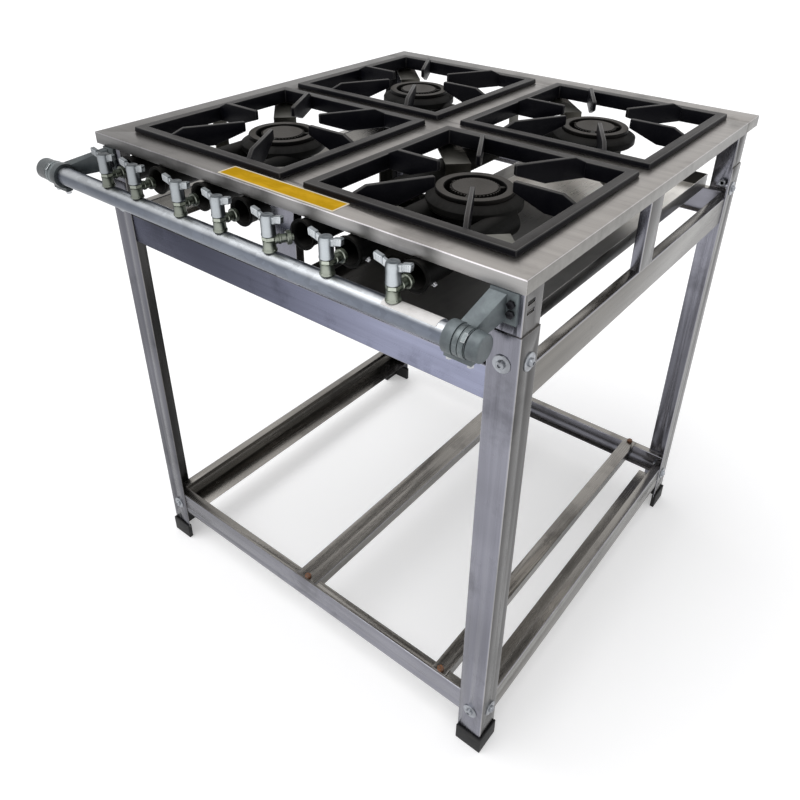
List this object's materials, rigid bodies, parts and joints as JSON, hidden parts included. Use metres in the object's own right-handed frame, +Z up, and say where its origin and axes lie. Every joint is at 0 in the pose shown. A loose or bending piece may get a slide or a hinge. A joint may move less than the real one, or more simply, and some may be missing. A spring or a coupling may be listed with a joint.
{
  "type": "four-burner low-pressure gas stove",
  "caption": "Free-standing commercial gas stove: stainless table with cast-iron grates on a bolted open stand, with wing taps on a front gas pipe.",
  "frame": {"origin": "middle of the stove's outline, on the floor", "axes": "+Z up, +X to the cook's right, -Y is the front with the taps"},
  "size_m": [0.815, 0.778, 0.806],
  "materials": {
    "table_sheet": "satin",
    "stand_steel": "satin",
    "rubber": "matte",
    "bolt_zinc": "satin",
    "rusty_steel": "rough",
    "galvanised_pipe": "satin",
    "green_paint": "satin",
    "dark_steel": "satin",
    "brass": "worn",
    "zinc_handle": "cast",
    "cast_iron": "rough",
    "label": "satin"
  },
  "bodies": {
    "stand": {"table_frame": "table_sheet", "table_rear_bar": "table_sheet", "corner_post_front_left": "stand_steel", "corner_post_front_right": "stand_steel", "corner_post_rear_left": "stand_steel", "corner_post_rear_right": "stand_steel", "middle_post_front": "stand_steel", "middle_post_right": "stand_steel", "upper_rail_front": "stand_steel", "upper_rail_rear": "stand_steel", "upper_rail_left": "stand_steel", "upper_rail_right": "stand_steel", "leg_front_left": "stand_steel", "leg_front_right": "stand_steel", "leg_rear_left": "stand_steel", "leg_rear_right": "stand_steel", "foot_front_left": "rubber", "foot_front_right": "rubber", "foot_rear_left": "rubber", "foot_rear_right": "rubber", "lower_rail_front": "stand_steel", "lower_rail_rear": "stand_steel", "lower_rail_left": "stand_steel", "lower_rail_right": "stand_steel", "cross_bar_middle": "stand_steel", "cross_bar_right": "stand_steel", "leg_bolts": "bolt_zinc", "leg_washers": "bolt_zinc", "leg_nuts": "bolt_zinc", "cross_bar_bolts": "rusty_steel", "gas_pipe": "galvanised_pipe", "pipe_caps": "green_paint", "pipe_arm_left": "green_paint", "pipe_arm_right": "green_paint", "pipe_clamps": "bolt_zinc", "arm_bolts": "dark_steel", "valve_bodies": "brass", "gas_jets": "brass", "burner_straps": "table_sheet", "burner_body_front_left": "cast_iron", "burner_body_front_right": "cast_iron", "burner_body_rear_left": "cast_iron", "burner_body_rear_right": "cast_iron", "front_plates": "label"},
    "tap_1": {"tap_1": "zinc_handle"},
    "tap_2": {"tap_2": "zinc_handle"},
    "tap_3": {"tap_3": "zinc_handle"},
    "tap_4": {"tap_4": "zinc_handle"},
    "tap_5": {"tap_5": "zinc_handle"},
    "tap_6": {"tap_6": "zinc_handle"},
    "tap_7": {"tap_7": "zinc_handle"},
    "burner_head_front_left": {"burner_head_front_left": "cast_iron"},
    "burner_head_front_right": {"burner_head_front_right": "cast_iron"},
    "burner_head_rear_left": {"burner_head_rear_left": "cast_iron"},
    "burner_head_rear_right": {"burner_head_rear_right": "cast_iron"},
    "grate_front_left": {"grate_front_left": "cast_iron"},
    "grate_front_right": {"grate_front_right": "cast_iron"},
    "grate_rear_left": {"grate_rear_left": "cast_iron"},
    "grate_rear_right": {"grate_rear_right": "cast_iron"},
    "drip_tray": {"drip_tray": "stand_steel"}
  },
  "joints": [
    {"name": "tap_1_turn", "type": "hinge", "parent": "stand", "child": "tap_1", "pos_m": [-0.238, -0.371, 0.758], "axis": [0, 0, 1], "range_deg": [0, 90]},
    {"name": "tap_2_turn", "type": "hinge", "parent": "stand", "child": "tap_2", "pos_m": [-0.172, -0.371, 0.758], "axis": [0, 0, 1], "range_deg": [0, 90]},
    {"name": "tap_3_turn", "type": "hinge", "parent": "stand", "child": "tap_3", "pos_m": [-0.08, -0.371, 0.758], "axis": [0, 0, 1], "range_deg": [0, 90]},
    {"name": "tap_4_turn", "type": "hinge", "parent": "stand", "child": "tap_4", "pos_m": [-0.003, -0.371, 0.758], "axis": [0, 0, 1], "range_deg": [0, 90]},
    {"name": "tap_5_turn", "type": "hinge", "parent": "stand", "child": "tap_5", "pos_m": [0.085, -0.371, 0.758], "axis": [0, 0, 1], "range_deg": [0, 90]},
    {"name": "tap_6_turn", "type": "hinge", "parent": "stand", "child": "tap_6", "pos_m": [0.1765, -0.371, 0.758], "axis": [0, 0, 1], "range_deg": [0, 90]},
    {"name": "tap_7_turn", "type": "hinge", "parent": "stand", "child": "tap_7", "pos_m": [0.27, -0.371, 0.758], "axis": [0, 0, 1], "range_deg": [0, 90]},
    {"name": "burner_head_front_left_lift", "type": "slide", "parent": "stand", "child": "burner_head_front_left", "axis": [0, 0, 1], "range_m": [0, 0.06]},
    {"name": "burner_head_front_right_lift", "type": "slide", "parent": "stand", "child": "burner_head_front_right", "axis": [0, 0, 1], "range_m": [0, 0.06]},
    {"name": "burner_head_rear_left_lift", "type": "slide", "parent": "stand", "child": "burner_head_rear_left", "axis": [0, 0, 1], "range_m": [0, 0.06]},
    {"name": "burner_head_rear_right_lift", "type": "slide", "parent": "stand", "child": "burner_head_rear_right", "axis": [0, 0, 1], "range_m": [0, 0.06]},
    {"name": "grate_front_left_lift", "type": "slide", "parent": "stand", "child": "grate_front_left", "axis": [0, 0, 1], "range_m": [0, 0.08]},
    {"name": "grate_front_right_lift", "type": "slide", "parent": "stand", "child": "grate_front_right", "axis": [0, 0, 1], "range_m": [0, 0.08]},
    {"name": "grate_rear_left_lift", "type": "slide", "parent": "stand", "child": "grate_rear_left", "axis": [0, 0, 1], "range_m": [0, 0.08]},
    {"name": "grate_rear_right_lift", "type": "slide", "parent": "stand", "child": "grate_rear_right", "axis": [0, 0, 1], "range_m": [0, 0.08]},
    {"name": "drip_tray_pull", "type": "slide", "parent": "stand", "child": "drip_tray", "axis": [0, -1, 0], "range_m": [0, 0.5]}
  ]
}
